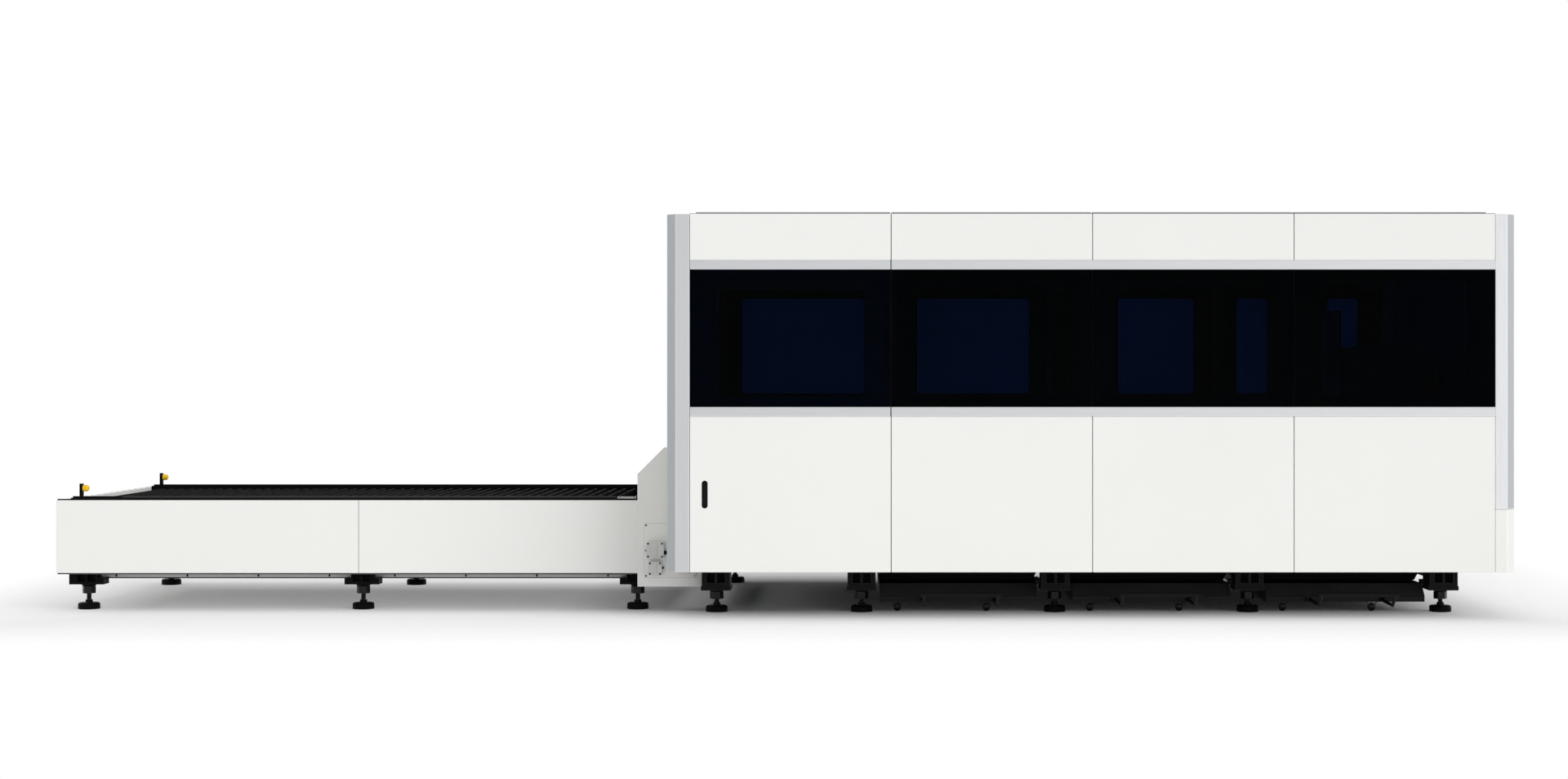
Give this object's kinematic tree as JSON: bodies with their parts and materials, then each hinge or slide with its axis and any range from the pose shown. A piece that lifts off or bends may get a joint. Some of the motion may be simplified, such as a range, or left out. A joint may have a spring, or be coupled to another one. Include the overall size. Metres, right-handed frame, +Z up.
{
  "type": "fiber laser cutting machine",
  "caption": "Enclosed flatbed sheet cutting machine: windowed cabin with a moving gantry, a two-level shuttle table with slatted pallets, and pull-out scrap carts.",
  "frame": {"origin": "on the floor, under the middle of the bounding box", "axes": "+Z up, +X along the machine from the table to the cabin, +Y to the far long side"},
  "size_m": [8.002, 2.986, 2.191],
  "materials": {
    "black_paint": "satin",
    "dark_steel": "satin",
    "white_paint": "semi-gloss powder coat",
    "frame_grey": "satin",
    "silver_trim": "satin anodised",
    "roof_sheet": "satin",
    "bright_steel": "machined",
    "window_glass": "dark laser-safe glazing",
    "cast_box": "cast, painted grey",
    "black_plastic": "matt",
    "bumper_rubber": "matt yellow",
    "slat_steel": "scaled mild steel",
    "motor_paint": "satin",
    "chain_steel": "oiled",
    "head_metal": "satin anodised"
  },
  "bodies": {
    "machine": {"bed_girders": "dark_steel", "bed_crossbeams": "dark_steel", "gantry_rails": "bright_steel", "gantry_racks": "chain_steel", "pallet_rails": "dark_steel", "scrap_chutes": "black_paint", "bed_foot_brackets": "black_paint", "levelling_feet": "black_paint", "cabin_bows": "frame_grey", "cabin_rails": "frame_grey", "roof_panels": "roof_sheet", "upper_panels": "white_paint", "lower_panels": "white_paint", "window_glass": "window_glass", "window_liners": "black_paint", "window_trims": "silver_trim", "corner_posts": "silver_trim", "entry_wall": "white_paint", "rear_wall": "white_paint", "door_pivots": "bright_steel", "side_covers": "white_paint", "access_plate": "white_paint", "junction_boxes": "cast_box", "cable_glands": "black_plastic", "table_side_beams": "dark_steel", "table_cross_beams": "dark_steel", "table_panels": "white_paint", "guard_rails": "black_paint", "drip_tray": "roof_sheet", "end_stop_posts": "black_paint", "bumpers": "bumper_rubber", "table_foot_brackets": "black_paint", "drive_motor": "motor_paint", "drive_chains": "chain_steel"},
    "side_door": {"door_frame": "frame_grey", "door_panels": "white_paint", "door_glass": "window_glass", "door_trims": "silver_trim", "door_pull": "black_plastic"},
    "gantry": {"gantry_beam": "head_metal", "gantry_trucks": "dark_steel", "gantry_motors": "black_paint"},
    "carriage": {"carriage": "head_metal", "hose_arch": "black_plastic"},
    "head": {"cutting_head": "head_metal"},
    "upper_pallet": {"upper_pallet_frame": "black_paint", "upper_pallet_slats": "slat_steel"},
    "lower_pallet": {"lower_pallet_frame": "black_paint", "lower_pallet_slats": "slat_steel"},
    "drive_shaft": {"drive_shaft": "bright_steel"},
    "idler_shaft": {"idler_shaft": "bright_steel"},
    "cart_1": {"cart_1_tub": "black_paint", "cart_1_casters": "black_plastic"},
    "cart_1_handle": {"cart_1_handle": "black_paint"},
    "cart_2": {"cart_2_tub": "black_paint", "cart_2_casters": "black_plastic"},
    "cart_2_handle": {"cart_2_handle": "black_paint"},
    "cart_3": {"cart_3_tub": "black_paint", "cart_3_casters": "black_plastic"},
    "cart_3_handle": {"cart_3_handle": "black_paint"}
  },
  "joints": [
    {"name": "side_door_hinge", "type": "hinge", "parent": "machine", "child": "side_door", "pos_m": [0.621, -1.478, 1.2], "axis": [0, 0, 1], "range_deg": [0, 100]},
    {"name": "gantry_travel", "type": "slide", "parent": "machine", "child": "gantry", "axis": [-1, 0, 0], "range_m": [0, 3.3]},
    {"name": "carriage_travel", "type": "slide", "parent": "gantry", "child": "carriage", "axis": [0, 1, 0], "range_m": [-0.75, 0.75]},
    {"name": "head_lift", "type": "slide", "parent": "carriage", "child": "head", "axis": [0, 0, -1], "range_m": [0, 0.13]},
    {"name": "pallet_shuttle", "type": "slide", "parent": "machine", "child": "upper_pallet", "axis": [1, 0, 0], "range_m": [0, 3.82]},
    {"name": "lower_shuttle", "type": "slide", "parent": "machine", "child": "lower_pallet", "axis": [1, 0, 0], "range_m": [-3.82, 0]},
    {"name": "drive_turn", "type": "hinge", "parent": "machine", "child": "drive_shaft", "pos_m": [-3.711, 0, 0.262], "axis": [0, 1, 0], "range_deg": [0, 8450]},
    {"name": "idler_turn", "type": "hinge", "parent": "machine", "child": "idler_shaft", "pos_m": [-0.917, 0, 0.262], "axis": [0, 1, 0], "range_deg": [0, 8450]},
    {"name": "cart_1_roll", "type": "slide", "parent": "machine", "child": "cart_1", "axis": [0, -1, 0], "range_m": [0, 1.6]},
    {"name": "cart_1_handle_hinge", "type": "hinge", "parent": "cart_1", "child": "cart_1_handle", "pos_m": [1.0265, -1.051, 0.07], "axis": [-1, 0, 0], "range_deg": [0, 16]},
    {"name": "cart_2_roll", "type": "slide", "parent": "machine", "child": "cart_2", "axis": [0, -1, 0], "range_m": [0, 1.6]},
    {"name": "cart_2_handle_hinge", "type": "hinge", "parent": "cart_2", "child": "cart_2_handle", "pos_m": [2.0995, -1.051, 0.07], "axis": [-1, 0, 0], "range_deg": [0, 16]},
    {"name": "cart_3_roll", "type": "slide", "parent": "machine", "child": "cart_3", "axis": [0, -1, 0], "range_m": [0, 1.6]},
    {"name": "cart_3_handle_hinge", "type": "hinge", "parent": "cart_3", "child": "cart_3_handle", "pos_m": [3.1725, -1.051, 0.07], "axis": [-1, 0, 0], "range_deg": [0, 16]}
  ],
  "couplings": [
    {"joint": "lower_shuttle", "follows": "pallet_shuttle", "ratio": -1},
    {"joint": "drive_turn", "follows": "pallet_shuttle", "rad_per_m": 38.462},
    {"joint": "idler_turn", "follows": "pallet_shuttle", "rad_per_m": 38.462}
  ]
}
